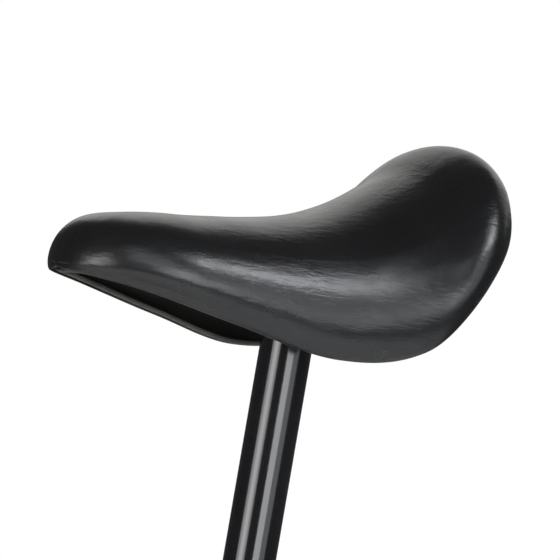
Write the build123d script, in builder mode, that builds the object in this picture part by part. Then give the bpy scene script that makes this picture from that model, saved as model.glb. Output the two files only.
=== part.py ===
"""A one-wheeled pedal cycle: a curved padded saddle on a round seatpost, held by a quick-release
collar in a flat-crown fork, over a 20-inch spoked wheel that is driven directly by its cranks.

Frame: +X is forward (the saddle's nose), +Y is the rider's left, +Z is up. The origin is on the
ground, straight under the axle. Everything is in millimetres.
"""

import os
from math import cos, pi, radians, sin, sqrt

from build123d import *

os.makedirs("parts", exist_ok=True)

# ---- driving dimensions ----
TYRE_R = 253.0  # 20 x 1.95 tyre
TYRE_WIDTH = 48.0
BEAD_R = 203.0  # bead seat of a 406 mm rim
AXLE_Z = TYRE_R
POST_R = 13.6  # 27.2 mm seatpost
SEAT_TUBE_R = 15.9
SADDLE_Z = 805.0  # saddle datum: the point on the post's axis that the saddle is drawn from
BEARING_Y = 50.0  # middle of each wheel bearing
LEG_R = 11.1
CRANK_LENGTH = 125.0
SPOKES_PER_SIDE = 18
SPOKE_R = 1.0
RUNNING = 0.05  # radial clearance where one piece turns or slides in another
FIT_GAP = 0.1  # gap between pieces that are held still

# ---- helpers ----
AXLE = Axis((0, 0, AXLE_Z), (0, 1, 0))
# Sketches on AXLE_PLANE have x across the wheel and y out from the axle.
AXLE_PLANE = Plane(origin=(0, 0, AXLE_Z), x_dir=(0, 1, 0), z_dir=(1, 0, 0))
SIDES = {"left": 1, "right": -1}


def save(shape, name):
    """Labels a finished piece and writes it as one STEP file."""
    shape.label = name
    export_step(shape, f"parts/{name}.step")


def group(solids):
    """Several separate solids that share one node."""
    return Compound(children=list(solids))


def side_plane(y, x=0.0, z=AXLE_Z, side=1):
    """A plane that faces outwards (+Y on the left, -Y on the right), y from the middle."""
    return Plane(origin=(x, side * y, z), x_dir=(side, 0, 0), z_dir=(0, side, 0))


def turned(profile, axis=AXLE, plane=AXLE_PLANE):
    """A ring or shaft turned from a closed polyline profile."""
    with BuildPart() as piece:
        with BuildSketch(plane):
            with BuildLine():
                Polyline(*profile, close=True)
            make_face()
        revolve(axis=axis)
    return piece.part


def ring_profile(inner, outer, low, high):
    """Rectangle from radius inner to outer, and from low to high along the axis."""
    return [(low, inner), (high, inner), (high, outer), (low, outer)]


# ---- tyre, inner tube and valve ----
TYRE_MID_R = 229.5
TUBE_R = 19.5
RIM_WALL_R = 190.6  # outer face of the rim's spoke bed
VALVE_R = 3.85
VALVE_TIP_R = 158.0

with BuildPart() as tyre:
    with BuildSketch(AXLE_PLANE):
        with BuildLine():
            outside = Spline(
                (-12.6, BEAD_R), (-13.0, 210.5), (-TYRE_WIDTH / 2, 230), (-15.5, 248.5), (0, TYRE_R),
                (15.5, 248.5), (TYRE_WIDTH / 2, 230), (13.0, 210.5), (12.6, BEAD_R),
            )
            Line(outside @ 1, outside @ 0)
        make_face()
        with Locations((0, TYRE_MID_R)):
            Circle(TUBE_R + 0.5, mode=Mode.SUBTRACT)
        with Locations((0, (BEAD_R + TYRE_MID_R) / 2 - 1)):
            Rectangle(19.2, TYRE_MID_R - BEAD_R + 2, mode=Mode.SUBTRACT)
    revolve(axis=AXLE)

VALVE_AXIS_DOWN = Plane(origin=(0, 0, AXLE_Z), x_dir=(1, 0, 0), z_dir=(0, 0, -1))

with BuildPart() as inner_tube:
    with BuildSketch(AXLE_PLANE):
        with Locations((0, TYRE_MID_R)):
            RegularPolygon(TUBE_R, 24)
            RegularPolygon(TUBE_R - 1.2, 24, mode=Mode.SUBTRACT)
    revolve(axis=AXLE)
    with BuildSketch(VALVE_AXIS_DOWN.offset(VALVE_TIP_R)):
        Circle(VALVE_R + FIT_GAP)
    extrude(amount=TYRE_MID_R - VALVE_TIP_R - 5, mode=Mode.SUBTRACT)

with BuildPart() as valve_stem:
    with BuildSketch(VALVE_AXIS_DOWN.offset(VALVE_TIP_R)):
        Circle(VALVE_R)
    extrude(amount=TYRE_MID_R - TUBE_R + 2.0 - VALVE_TIP_R)
    with BuildSketch(VALVE_AXIS_DOWN.offset(VALVE_TIP_R)):
        Circle(2.2)
        Circle(0.9, mode=Mode.SUBTRACT)
    extrude(amount=12, mode=Mode.SUBTRACT)

with BuildPart() as valve_cap:
    with BuildSketch(VALVE_AXIS_DOWN.offset(VALVE_TIP_R - 3)):
        Circle(5.2)
    extrude(amount=12)
    with BuildSketch(VALVE_AXIS_DOWN.offset(VALVE_TIP_R - FIT_GAP)):
        Circle(VALVE_R + FIT_GAP)
    extrude(amount=12, mode=Mode.SUBTRACT)

# ---- rim, tape, spokes and nipples ----
RIM_HALF = 15.5
FLANGE_R = 209.0
BED_R = 188.0
RIM_PROFILE = [
    (-9, BED_R), (9, BED_R), (RIM_HALF, 197), (RIM_HALF, FLANGE_R), (13.4, FLANGE_R), (13.4, 202.4),
    (10, 200.6), (8.6, RIM_WALL_R), (-8.6, RIM_WALL_R), (-10, 200.6), (-13.4, 202.4), (-13.4, FLANGE_R),
    (-RIM_HALF, FLANGE_R), (-RIM_HALF, 197),
]
SPOKE_STEP = 360 / SPOKES_PER_SIDE
CROSS_ANGLE = 60.0  # three-cross lacing of 36 spokes
HUB_HOLE_R = 26.0
FLANGE_Y = 30.0
FLANGE_T = 3.0
RIM_HOLE_Y = 1.5
NIPPLE_TOP_R = 194.0


def on_wheel(radius, angle, y):
    """A point at a radius and an angle about the axle; 0 degrees is forward and 90 is up."""
    return Vector(radius * cos(radians(angle)), y, AXLE_Z + radius * sin(radians(angle)))


# Each spoke: the side, the hub angle, the rim angle, and 1 outside or -1 inside its flange.
LACING = []
for side in SIDES.values():
    start = 5.0 if side == 1 else 5.0 + SPOKE_STEP / 2
    for pair in range(SPOKES_PER_SIDE // 2):
        angle = start + 2 * SPOKE_STEP * pair
        LACING.append((side, angle, angle + CROSS_ANGLE, 1))
        LACING.append((side, angle + SPOKE_STEP, angle + SPOKE_STEP - CROSS_ANGLE, -1))


def elbow_lay(outside):
    """How far an elbow lies from its flange's middle; the outer ones bow out to clear its edge."""
    return FLANGE_T / 2 + SPOKE_R + (1.5 if outside == 1 else 0.1)


def spoke_line(side, hub_angle, rim_angle, outside):
    """The spoke's elbow, the middle of its nipple's head, and the unit vector between them."""
    elbow = on_wheel(HUB_HOLE_R, hub_angle, side * (FLANGE_Y + outside * elbow_lay(outside)))
    head = on_wheel(NIPPLE_TOP_R, rim_angle, side * RIM_HOLE_Y)
    return elbow, head, (head - elbow).normalized()


def make_spoke(side, hub_angle, rim_angle, outside):
    """A straight spoke with its elbow through the flange and its head on the other side."""
    elbow, head, along = spoke_line(side, hub_angle, rim_angle, outside)
    inward = Vector(0, -side * outside, 0)
    to_head = elbow_lay(outside) + FLANGE_T / 2 + 0.1
    with BuildPart() as spoke:
        with BuildSketch(Plane(origin=elbow, z_dir=along)):
            Circle(SPOKE_R)
        extrude(amount=(head - elbow).length - 2.0)
        with Locations(elbow):
            Sphere(SPOKE_R * 1.05)
        with BuildSketch(Plane(origin=elbow, z_dir=inward)):
            Circle(SPOKE_R)
        extrude(amount=to_head + 0.6)
        with BuildSketch(Plane(origin=elbow + inward * to_head, z_dir=inward)):
            Circle(1.9)
        extrude(amount=1.2)
    return spoke.part.solid()


def make_nipple(side, hub_angle, rim_angle, outside):
    """A headed nipple, bored for the spoke, that pulls on the rim's bed."""
    elbow, head, along = spoke_line(side, hub_angle, rim_angle, outside)
    with BuildPart() as nipple:
        with BuildSketch(Plane(origin=head, z_dir=-along)):
            Circle(3.0)
        extrude(amount=2.6)
        with BuildSketch(Plane(origin=head, z_dir=-along)):
            Circle(2.0)
        extrude(amount=13)
        with BuildSketch(Plane(origin=head, z_dir=-along)):
            Circle(SPOKE_R + RUNNING)
        extrude(amount=14, mode=Mode.SUBTRACT)
    return nipple.part.solid()


with BuildPart() as rim:
    with BuildSketch(AXLE_PLANE):
        with BuildLine():
            Polyline(*RIM_PROFILE, close=True)
        make_face()
    revolve(axis=AXLE)
    for lace in LACING:
        elbow, head, along = spoke_line(*lace)
        with BuildSketch(Plane(origin=head, z_dir=-along)):
            Circle(2.3)
        extrude(amount=9, mode=Mode.SUBTRACT)
    with BuildSketch(VALVE_AXIS_DOWN.offset(BED_R - 3)):
        Circle(VALVE_R + 0.3)
    extrude(amount=7, mode=Mode.SUBTRACT)

with BuildPart() as rim_tape:
    with BuildSketch(AXLE_PLANE):
        with Locations((0, NIPPLE_TOP_R + 1.5)):
            Rectangle(17.2, 0.8)
    revolve(axis=AXLE)
    with BuildSketch(VALVE_AXIS_DOWN.offset(NIPPLE_TOP_R - 2)):
        Circle(VALVE_R + 0.3)
    extrude(amount=6, mode=Mode.SUBTRACT)

# ---- hub and axle ----
AXLE_R = 8.5
BEARING_R = 20.0
BEARING_HALF = 6.0
HUB_R = 15.0
HUB_END_Y = BEARING_Y - BEARING_HALF - FIT_GAP
SPINDLE_R = 7.5
SQUARE_START_Y = 66.0
AXLE_END_Y = 84.0
SQUARE_ROOT = 13.4  # across the flats where the taper starts
SQUARE_TIP = 12.6

HUB_PROFILE = [
    (-HUB_END_Y, AXLE_R + FIT_GAP), (HUB_END_Y, AXLE_R + FIT_GAP), (HUB_END_Y, 11.5),
    (FLANGE_Y + 5, 13.5), (FLANGE_Y + FLANGE_T / 2, 17), (FLANGE_Y + FLANGE_T / 2, 30),
    (FLANGE_Y - FLANGE_T / 2, 30), (FLANGE_Y - FLANGE_T / 2, 19), (FLANGE_Y - 9, HUB_R),
]
with BuildPart() as hub_shell:
    with BuildSketch(AXLE_PLANE):
        with BuildLine():
            mirrored = [(-y, r) for y, r in reversed(HUB_PROFILE[2:])]
            Polyline(*HUB_PROFILE, *mirrored, close=True)
        make_face()
    revolve(axis=AXLE)
    for side, hub_angle, rim_angle, outside in LACING:
        hole = on_wheel(HUB_HOLE_R, hub_angle, side * (FLANGE_Y - 4))
        with BuildSketch(Plane(origin=hole, z_dir=(0, side, 0))):
            Circle(SPOKE_R + 0.3)
        extrude(amount=8, mode=Mode.SUBTRACT)

with BuildPart() as axle:
    with BuildSketch(side_plane(0)):
        Circle(AXLE_R)
    extrude(amount=BEARING_Y + BEARING_HALF + 1.5, both=True)
    with BuildSketch(side_plane(0)):
        Circle(SPINDLE_R)
    extrude(amount=SQUARE_START_Y, both=True)
    for side in SIDES.values():
        with BuildSketch(side_plane(SQUARE_START_Y - 2, side=side)):
            Rectangle(SQUARE_ROOT, SQUARE_ROOT)
        with BuildSketch(side_plane(AXLE_END_Y, side=side)):
            Rectangle(SQUARE_TIP, SQUARE_TIP)
        loft()
        with BuildSketch(side_plane(AXLE_END_Y, side=side)):
            Circle(4.0)
        extrude(amount=-24, mode=Mode.SUBTRACT)

# ---- wheel bearings: races, balls in a cage, and shields ----
BALL_R = 3.37
BALL_PITCH_R = 14.25
BALL_COUNT = 8
GROOVE_R = BALL_R + RUNNING


def make_race(inner, outer, y):
    """A bearing race with its ball groove, centred at y."""
    with BuildPart() as race:
        with BuildSketch(AXLE_PLANE):
            with Locations((y, (inner + outer) / 2)):
                Rectangle(2 * BEARING_HALF, outer - inner)
            with Locations((y, BALL_PITCH_R)):
                Circle(GROOVE_R, mode=Mode.SUBTRACT)
        revolve(axis=AXLE)
    return race.part


def make_caged_balls(y, pitch_r, ball_r, count, half_width, axis_x=0.0):
    """Balls, and the pocketed ring that keeps them apart, round an axis along Y."""
    middle = Plane(origin=(axis_x, y, AXLE_Z), x_dir=(1, 0, 0), z_dir=(0, 1, 0))
    with BuildPart() as balls:
        with Locations(middle):
            with PolarLocations(pitch_r, count):
                Sphere(ball_r)
    with BuildPart() as cage:
        with BuildSketch(middle.offset(-half_width)):
            Circle(pitch_r + ball_r * 0.25)
            Circle(pitch_r - ball_r * 0.25, mode=Mode.SUBTRACT)
        extrude(amount=2 * half_width)
        for k in range(count):
            out = Vector(cos(2 * pi * k / count), 0, sin(2 * pi * k / count))
            with BuildSketch(Plane(origin=middle.origin, z_dir=out)):
                Circle(ball_r + RUNNING)
            extrude(amount=pitch_r + ball_r, mode=Mode.SUBTRACT)
    return group([*balls.part.solids(), *cage.part.solids()])


for name, side in SIDES.items():
    y = side * BEARING_Y
    save(make_race(17.0, BEARING_R, y), f"{name}_bearing_outer_race")
    save(make_race(AXLE_R + 0.02, 11.6, y), f"{name}_bearing_inner_race")
    save(make_caged_balls(y, BALL_PITCH_R, BALL_R, BALL_COUNT, 4.2), f"{name}_bearing_balls")
    shields = [
        turned(ring_profile(12.0, 16.9, y + 4.9 * end - 0.3, y + 4.9 * end + 0.3)).solid()
        for end in (-1, 1)
    ]
    save(group(shields), f"{name}_bearing_shields")

# ---- frame: seat tube, crown, legs and bearing holders ----
CROWN_LOW = 524.0
CROWN_HEIGHT = 22.0
CROWN_DEPTH = 38.0
CROWN_WIDTH = 2 * (BEARING_Y + LEG_R + 4)
SEAT_TUBE_TOP = 675.0
SEAT_TUBE_BORE = POST_R + RUNNING
HOLDER_HALF = 7.0
HOLDER_R = 25.5
EAR_X = 30.0
EAR_HALF = 7.5
EAR_HEIGHT = 10.0
HOLDER_TOP = 28.0
SPLIT_GAP = 0.3
CAP_BOLT_R = 3.0

with BuildPart() as seat_tube:
    with BuildSketch(Plane.XY.offset(CROWN_LOW)):
        Circle(SEAT_TUBE_R)
        Circle(SEAT_TUBE_BORE, mode=Mode.SUBTRACT)
    extrude(amount=SEAT_TUBE_TOP - CROWN_LOW)
    # The slit that lets the collar squeeze the tube, ended by a round stress-relief hole.
    slit_low = SEAT_TUBE_TOP - 38
    with BuildSketch(Plane.YZ.offset(-SEAT_TUBE_R - 5)):
        with Locations((0, (slit_low + SEAT_TUBE_TOP) / 2)):
            Rectangle(2.4, SEAT_TUBE_TOP - slit_low)
        with Locations((0, slit_low)):
            Circle(2.6)
    extrude(amount=SEAT_TUBE_R, mode=Mode.SUBTRACT)

with BuildPart() as fork_crown:
    with BuildSketch(Plane.XY.offset(CROWN_LOW)):
        RectangleRounded(CROWN_DEPTH, CROWN_WIDTH, 14)
    extrude(amount=CROWN_HEIGHT)
    chamfer(fork_crown.faces().sort_by(Axis.Z)[-1].edges(), 2.5)
    with BuildSketch(Plane.XY.offset(CROWN_LOW)):
        Circle(SEAT_TUBE_R)
    extrude(amount=CROWN_HEIGHT, mode=Mode.SUBTRACT)

for name, side in SIDES.items():
    leg_foot = AXLE_Z + HOLDER_TOP
    with BuildPart() as fork_leg:
        with BuildSketch(Plane.XY.offset(leg_foot)):
            with Locations((0, side * BEARING_Y)):
                Circle(LEG_R)
                Circle(LEG_R - 2.0, mode=Mode.SUBTRACT)
        extrude(amount=CROWN_LOW - leg_foot)
    save(fork_leg.part, f"{name}_fork_leg")

    holder_start = side_plane(BEARING_Y - HOLDER_HALF, side=side)
    with BuildPart() as holder:
        with BuildSketch(holder_start) as outline:
            Circle(HOLDER_R)
            Rectangle(2 * (EAR_X + EAR_HALF), 2 * EAR_HEIGHT)
            with Locations((0, HOLDER_TOP / 2)):
                Rectangle(2 * LEG_R, HOLDER_TOP)
            Circle(BEARING_R, mode=Mode.SUBTRACT)
            Rectangle(4 * EAR_X, 2 * SPLIT_GAP, mode=Mode.SUBTRACT)
        extrude(amount=2 * HOLDER_HALF)
        with Locations(Plane(origin=(0, side * BEARING_Y, AXLE_Z + EAR_HEIGHT))):
            with Locations((-EAR_X, 0), (EAR_X, 0)):
                Hole(CAP_BOLT_R + FIT_GAP, depth=2 * EAR_HEIGHT + 1)
    halves = holder.part.solids().sort_by(Axis.Z)
    save(halves[-1], f"{name}_bearing_seat")
    save(halves[0], f"{name}_bearing_cap")

with BuildPart() as bearing_cap_bolts:
    bolt_spots = [(x, side * BEARING_Y) for x in (-EAR_X, EAR_X) for side in SIDES.values()]
    with BuildSketch(Plane.XY.offset(AXLE_Z - EAR_HEIGHT - FIT_GAP)):
        with Locations(*bolt_spots):
            Circle(CAP_BOLT_R)
    extrude(amount=2 * EAR_HEIGHT + 5)
    with BuildSketch(Plane.XY.offset(AXLE_Z - EAR_HEIGHT - FIT_GAP)):
        with Locations(*bolt_spots):
            Circle(5.0)
    extrude(amount=-6)
    with BuildSketch(Plane.XY.offset(AXLE_Z - EAR_HEIGHT - FIT_GAP - 6)):
        with Locations(*bolt_spots):
            RegularPolygon(2.9, 6)
    extrude(amount=3.4, mode=Mode.SUBTRACT)

with BuildPart() as bearing_cap_nuts:
    with BuildSketch(Plane.XY.offset(AXLE_Z + EAR_HEIGHT + FIT_GAP)):
        with Locations(*bolt_spots):
            RegularPolygon(5.6, 6)
            Circle(CAP_BOLT_R + 0.02, mode=Mode.SUBTRACT)
    extrude(amount=5)

# ---- seat clamp: split collar with a cam lever ----
COLLAR_LOW = 658.0
COLLAR_HEIGHT = 16.0
COLLAR_R = 20.5
SKEWER_Z = COLLAR_LOW + COLLAR_HEIGHT / 2
SKEWER_X = -27.0
SKEWER_R = 2.5
EAR_Y = 11.0
PIVOT_Y = 20.5
CAM_R = 7.0
PIVOT_R = 2.0
HEAD_HALF = 3.3
CAM_OUTER = 7.6

with BuildPart() as clamp_collar:
    with BuildSketch(Plane.XY.offset(COLLAR_LOW)):
        Circle(COLLAR_R)
        with Locations(((SKEWER_X - 7.5 - 14) / 2, 0)):
            Rectangle(-(SKEWER_X - 7.5) - 14, 2 * EAR_Y)
        Circle(SEAT_TUBE_R + RUNNING, mode=Mode.SUBTRACT)
        with Locations((SKEWER_X, 0)):
            Rectangle(30, 3.0, mode=Mode.SUBTRACT)
    extrude(amount=COLLAR_HEIGHT)
    with BuildSketch(Plane.XZ.offset(-EAR_Y - 1)):
        with Locations((SKEWER_X, SKEWER_Z)):
            Circle(SKEWER_R + 0.15)
    extrude(amount=2 * EAR_Y + 2, mode=Mode.SUBTRACT)
    vertical = clamp_collar.edges().filter_by(Axis.Z)
    fillet(vertical.group_by(Axis.X)[0], 3)

skewer_plane = Plane(origin=(SKEWER_X, 0, SKEWER_Z), x_dir=(1, 0, 0), z_dir=(0, 1, 0))
with BuildPart() as clamp_skewer:
    with BuildSketch(skewer_plane.offset(-EAR_Y - 9.5)):
        Circle(SKEWER_R)
    extrude(amount=EAR_Y + 9.5 + PIVOT_Y)
    with BuildSketch(Plane.XY.offset(SKEWER_Z - HEAD_HALF)):
        with Locations((SKEWER_X, PIVOT_Y)):
            Circle(4.4)
    extrude(amount=2 * HEAD_HALF)
    with BuildSketch(Plane.XY.offset(SKEWER_Z - CAM_OUTER)):
        with Locations((SKEWER_X, PIVOT_Y)):
            Circle(PIVOT_R + 0.02)
    extrude(amount=2 * CAM_OUTER, mode=Mode.SUBTRACT)

with BuildPart() as clamp_pivot_pin:
    with BuildSketch(Plane.XY.offset(SKEWER_Z - CAM_OUTER)):
        with Locations((SKEWER_X, PIVOT_Y)):
            Circle(PIVOT_R)
    extrude(amount=2 * CAM_OUTER)

with BuildPart() as clamp_washer:
    with BuildSketch(Plane.XY.offset(SKEWER_Z - 7.8)):
        with Locations((SKEWER_X, EAR_Y + FIT_GAP + 2.4)):
            Rectangle(13, 4.8)
        with Locations((SKEWER_X, PIVOT_Y)):
            Circle(CAM_R + 0.15, mode=Mode.SUBTRACT)
    extrude(amount=15.6)
    with BuildSketch(skewer_plane.offset(EAR_Y)):
        Circle(SKEWER_R + 0.2)
    extrude(amount=8, mode=Mode.SUBTRACT)

with BuildPart() as clamp_lever:
    # Two cam discs on the pin, bridged by a handle that hugs the collar when it is closed.
    with BuildSketch(Plane.XY.offset(SKEWER_Z - CAM_OUTER)):
        with Locations((SKEWER_X, PIVOT_Y)):
            Circle(CAM_R)
    extrude(amount=2 * CAM_OUTER)
    with BuildSketch(Plane.XY.offset(SKEWER_Z - HEAD_HALF - 0.2)):
        with Locations((SKEWER_X, PIVOT_Y)):
            Rectangle(20, 20)
    extrude(amount=2 * HEAD_HALF + 0.4, mode=Mode.SUBTRACT)
    with BuildSketch(Plane.XY.offset(SKEWER_Z - CAM_OUTER)):
        with BuildLine():
            inner_edge = Spline(
                (SKEWER_X + 5.4, PIVOT_Y - 0.5), (SKEWER_X + 18, PIVOT_Y + 1.8),
                (SKEWER_X + 36, PIVOT_Y + 3.2), (SKEWER_X + 56, PIVOT_Y - 1.5),
            )
            outer_edge = Spline(
                (SKEWER_X + 56.8, PIVOT_Y + 2.2), (SKEWER_X + 36, PIVOT_Y + 8.0),
                (SKEWER_X + 18, PIVOT_Y + 7.8), (SKEWER_X + 2.5, PIVOT_Y + 6.5),
            )
            Line(inner_edge @ 1, outer_edge @ 0)
            Line(outer_edge @ 1, inner_edge @ 0)
        make_face()
    extrude(amount=2 * CAM_OUTER)
    with BuildSketch(Plane.XY.offset(SKEWER_Z - CAM_OUTER)):
        with Locations((SKEWER_X, PIVOT_Y)):
            Circle(PIVOT_R + RUNNING)
    extrude(amount=2 * CAM_OUTER, mode=Mode.SUBTRACT)
    # Clears the skewer's head, which stays still while the handle swings round it.
    with BuildSketch(Plane.XY.offset(SKEWER_Z - HEAD_HALF - 0.2)):
        with Locations((SKEWER_X, PIVOT_Y)):
            Circle(4.8)
    extrude(amount=2 * HEAD_HALF + 0.4, mode=Mode.SUBTRACT)

with BuildPart() as clamp_nut:
    with BuildSketch(skewer_plane.offset(-EAR_Y - FIT_GAP - 8)):
        Circle(7.2)
        with PolarLocations(7.6, 12):
            Circle(0.9, mode=Mode.SUBTRACT)
        Circle(SKEWER_R + 0.02, mode=Mode.SUBTRACT)
    extrude(amount=8)

# ---- seatpost ----
HEAD_LOW = SADDLE_Z + 17.5
HEAD_T = 4.0
POST_BOTTOM = 572.0
MOUNT_X = 38.0  # half the spacing of the saddle bolts, fore and aft
MOUNT_Y = 18.0  # half their spacing, side to side
BOLT_R = 3.0
BOLT_BELOW = 6.1  # how far the saddle bolts reach below the head plate

with BuildPart() as seatpost_tube:
    with BuildSketch(Plane.XY.offset(POST_BOTTOM)):
        Circle(POST_R)
        Circle(POST_R - 2.2, mode=Mode.SUBTRACT)
    extrude(amount=HEAD_LOW - POST_BOTTOM)

with BuildPart() as seatpost_head_plate:
    with BuildSketch(Plane.XY.offset(HEAD_LOW)):
        RectangleRounded(2 * MOUNT_X + 20, 2 * MOUNT_Y + 18, 8)
        for x in (-MOUNT_X, MOUNT_X):
            for y in (-MOUNT_Y, MOUNT_Y):
                with Locations((x, y)):
                    SlotCenterToCenter(5, 2 * BOLT_R + 0.6, mode=Mode.SUBTRACT)
    extrude(amount=HEAD_T)

with BuildPart() as seatpost_gussets:
    for end in (-1, 1):
        with BuildSketch(Plane.XZ.offset(-1.5)):
            with BuildLine():
                Polyline(
                    (end * (POST_R + 0.05), HEAD_LOW), (end * (POST_R + 18), HEAD_LOW),
                    (end * (POST_R + 0.05), HEAD_LOW - 12), close=True,
                )
            make_face()
        extrude(amount=3)

# ---- saddle ----
# Its side view and plan, from tail to nose, measured from the post's axis and the saddle datum:
# (station, height of the lower edge, height of the crown above that edge, half width).
SADDLE_STATIONS = [
    (-103, 75.0, 69.0, 82.0),
    (-77, 45.5, 80.0, 82.0),
    (-46, 7.0, 87.0, 72.0),
    (0, -5.5, 73.0, 63.0),
    (56, 2.5, 52.5, 54.0),
    (105, 11.0, 41.0, 46.0),
    (140, 15.0, 49.0, 46.0),
]
TAIL, NOSE = SADDLE_STATIONS[0][0], SADDLE_STATIONS[-1][0]
NOSE_ROUND_PLAN, NOSE_ROUND_SIDE = 56.5, 59.0  # lengths over which the nose closes
TAIL_ROUND_PLAN, TAIL_ROUND_SIDE = 55.0, 48.0
WIDEST_AT = 0.25  # the widest point, as a share of the height above the lower edge
TUCK = 0.10  # how much narrower the lower edge is than the widest point
TAIL_POWER, MIDDLE_POWER, NOSE_POWER = 0.98, 0.96, 0.84  # 1 is an ellipse, less is squarer
COVER_T = 2.0
FOAM_GAP = 0.4
FOAM_SIDE_T = 3.3
BASE_T = 3.0
BASE_SHARE = 0.70  # the base's height as a share of the saddle's
SECTIONS = 15
SECTION_POINTS = 13


def along_saddle(x, column):
    """A column of SADDLE_STATIONS at x, by a cubic through the stations."""
    rows = SADDLE_STATIONS
    i = max(k for k in range(len(rows) - 1) if k == 0 or rows[k][0] <= x)

    def slope(k):
        a, b = max(k - 1, 0), min(k + 1, len(rows) - 1)
        return (rows[b][column] - rows[a][column]) / (rows[b][0] - rows[a][0])

    step = rows[i + 1][0] - rows[i][0]
    t = (x - rows[i][0]) / step
    return (
        (2 * t**3 - 3 * t**2 + 1) * rows[i][column]
        + (t**3 - 2 * t**2 + t) * step * slope(i)
        + (3 * t**2 - 2 * t**3) * rows[i + 1][column]
        + (t**3 - t**2) * step * slope(i + 1)
    )


def closing(x, nose_length, tail_length):
    """1 along the saddle's middle, falling to 0 at its two rounded ends."""
    beyond = max((x - NOSE + nose_length) / nose_length, (TAIL + tail_length - x) / tail_length, 0.0)
    return sqrt(max(1 - beyond**2, 0.0))


def saddle_power(x):
    """How square the section is at x."""
    if x < 0:
        return MIDDLE_POWER + (TAIL_POWER - MIDDLE_POWER) * x / TAIL
    return MIDDLE_POWER + (NOSE_POWER - MIDDLE_POWER) * x / NOSE


def saddle_section(x, inset, share):
    """Points over the top of one section, from the left lower edge to the right one.

    inset is how far it lies inside the outer skin, and share scales its height.
    """
    low = along_saddle(x, 1)
    height = along_saddle(x, 2) * closing(x, NOSE_ROUND_SIDE, TAIL_ROUND_SIDE) * share - inset
    half = along_saddle(x, 3) * closing(x, NOSE_ROUND_PLAN, TAIL_ROUND_PLAN) - inset
    height, half = max(height, 1.0), max(half, 1.0)
    points = [(half * (1 - TUCK), low), (half * (1 - TUCK / 4), low + WIDEST_AT * height / 2)]
    for k in range(SECTION_POINTS - 4):
        angle = pi * k / (SECTION_POINTS - 5)
        reach = abs(cos(angle)) ** saddle_power(x)
        rise = sin(angle) ** saddle_power(x)
        y = half * reach * (1 if angle < pi / 2 else -1)
        points.append((y, low + WIDEST_AT * height + (1 - WIDEST_AT) * height * rise))
    points += [(-half * (1 - TUCK / 4), low + WIDEST_AT * height / 2), (-half * (1 - TUCK), low)]
    return points


def saddle_shape(inset=0.0, share=1.0, below=0.0, ends=0.6):
    """The saddle's outer form, or one nested inside it, lofted through sections crowding its ends.

    below carries the sides straight down past the lower edge, for a form that cuts a hollow.
    """
    middle, reach = (NOSE + TAIL) / 2, (NOSE - TAIL) / 2 - inset - ends
    with BuildPart() as form:
        for k in range(SECTIONS):
            x = middle - reach * cos(pi * k / (SECTIONS - 1))
            plane = Plane(origin=(x, 0, SADDLE_Z), x_dir=(0, 1, 0), z_dir=(1, 0, 0))
            with BuildSketch(plane):
                with BuildLine():
                    over = Spline(*saddle_section(x, inset, share))
                    if below:
                        drop = Vector(0, -below)
                        Polyline(over @ 1, over @ 1 + drop, over @ 0 + drop, over @ 0)
                    else:
                        Line(over @ 1, over @ 0)
                make_face()
        loft()
    return form.part


FOAM_INSET = COVER_T + FOAM_GAP
BASE_INSET = FOAM_INSET + FOAM_SIDE_T

outer_form = saddle_shape()
cover_cavity = saddle_shape(inset=COVER_T, below=12.0)
foam_form = saddle_shape(inset=FOAM_INSET)
base_clearance = saddle_shape(inset=BASE_INSET - FOAM_GAP, share=BASE_SHARE, below=12.0, ends=2.0)
base_form = saddle_shape(inset=BASE_INSET, share=BASE_SHARE, ends=2.0)
base_cavity = saddle_shape(inset=BASE_INSET + BASE_T, share=BASE_SHARE, below=12.0, ends=2.0)

with BuildPart() as saddle_cover:
    add(outer_form)
    add(cover_cavity, mode=Mode.SUBTRACT)

with BuildPart() as saddle_foam:
    add(foam_form)
    add(base_clearance, mode=Mode.SUBTRACT)

# The base's level mounting floor, carried by ribs that run fore and aft up to its shell.
MOUNT_FLOOR = HEAD_LOW + HEAD_T + FIT_GAP
FLOOR_T = 4.0
RIB_HEIGHT = 60.0
with BuildPart() as mount_block:
    with BuildSketch(Plane.XY.offset(MOUNT_FLOOR)):
        RectangleRounded(2 * MOUNT_X + 24, 2 * MOUNT_Y + 22, 6)
    extrude(amount=FLOOR_T)
    with BuildSketch(Plane.XY.offset(MOUNT_FLOOR)):
        for y in (-30, -10, 10, 30):
            with Locations((0, y)):
                Rectangle(2 * MOUNT_X + 16, BASE_T)
    extrude(amount=RIB_HEIGHT)
    add(base_form, mode=Mode.INTERSECT)

with BuildPart() as saddle_base:
    add(base_form)
    add(base_cavity, mode=Mode.SUBTRACT)
    add(mount_block.part)
    with Locations(Plane.XY.offset(MOUNT_FLOOR + FLOOR_T)):
        with GridLocations(2 * MOUNT_X, 2 * MOUNT_Y, 2, 2):
            Hole(BOLT_R + FIT_GAP, depth=FLOOR_T + 1)

with BuildPart() as saddle_bolts:
    mount_grid = GridLocations(2 * MOUNT_X, 2 * MOUNT_Y, 2, 2)
    with BuildSketch(Plane.XY.offset(HEAD_LOW - BOLT_BELOW)):
        with mount_grid:
            Circle(BOLT_R)
    extrude(amount=MOUNT_FLOOR + FLOOR_T + 0.2 - HEAD_LOW + BOLT_BELOW)
    with BuildSketch(Plane.XY.offset(MOUNT_FLOOR + FLOOR_T + 0.1)):
        with mount_grid:
            Circle(6.0)
    extrude(amount=2.0)

with BuildPart() as saddle_washers:
    with BuildSketch(Plane.XY.offset(HEAD_LOW - FIT_GAP - 1.4)):
        with mount_grid:
            Circle(7.0)
            Circle(BOLT_R + FIT_GAP, mode=Mode.SUBTRACT)
    extrude(amount=1.4)

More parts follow.
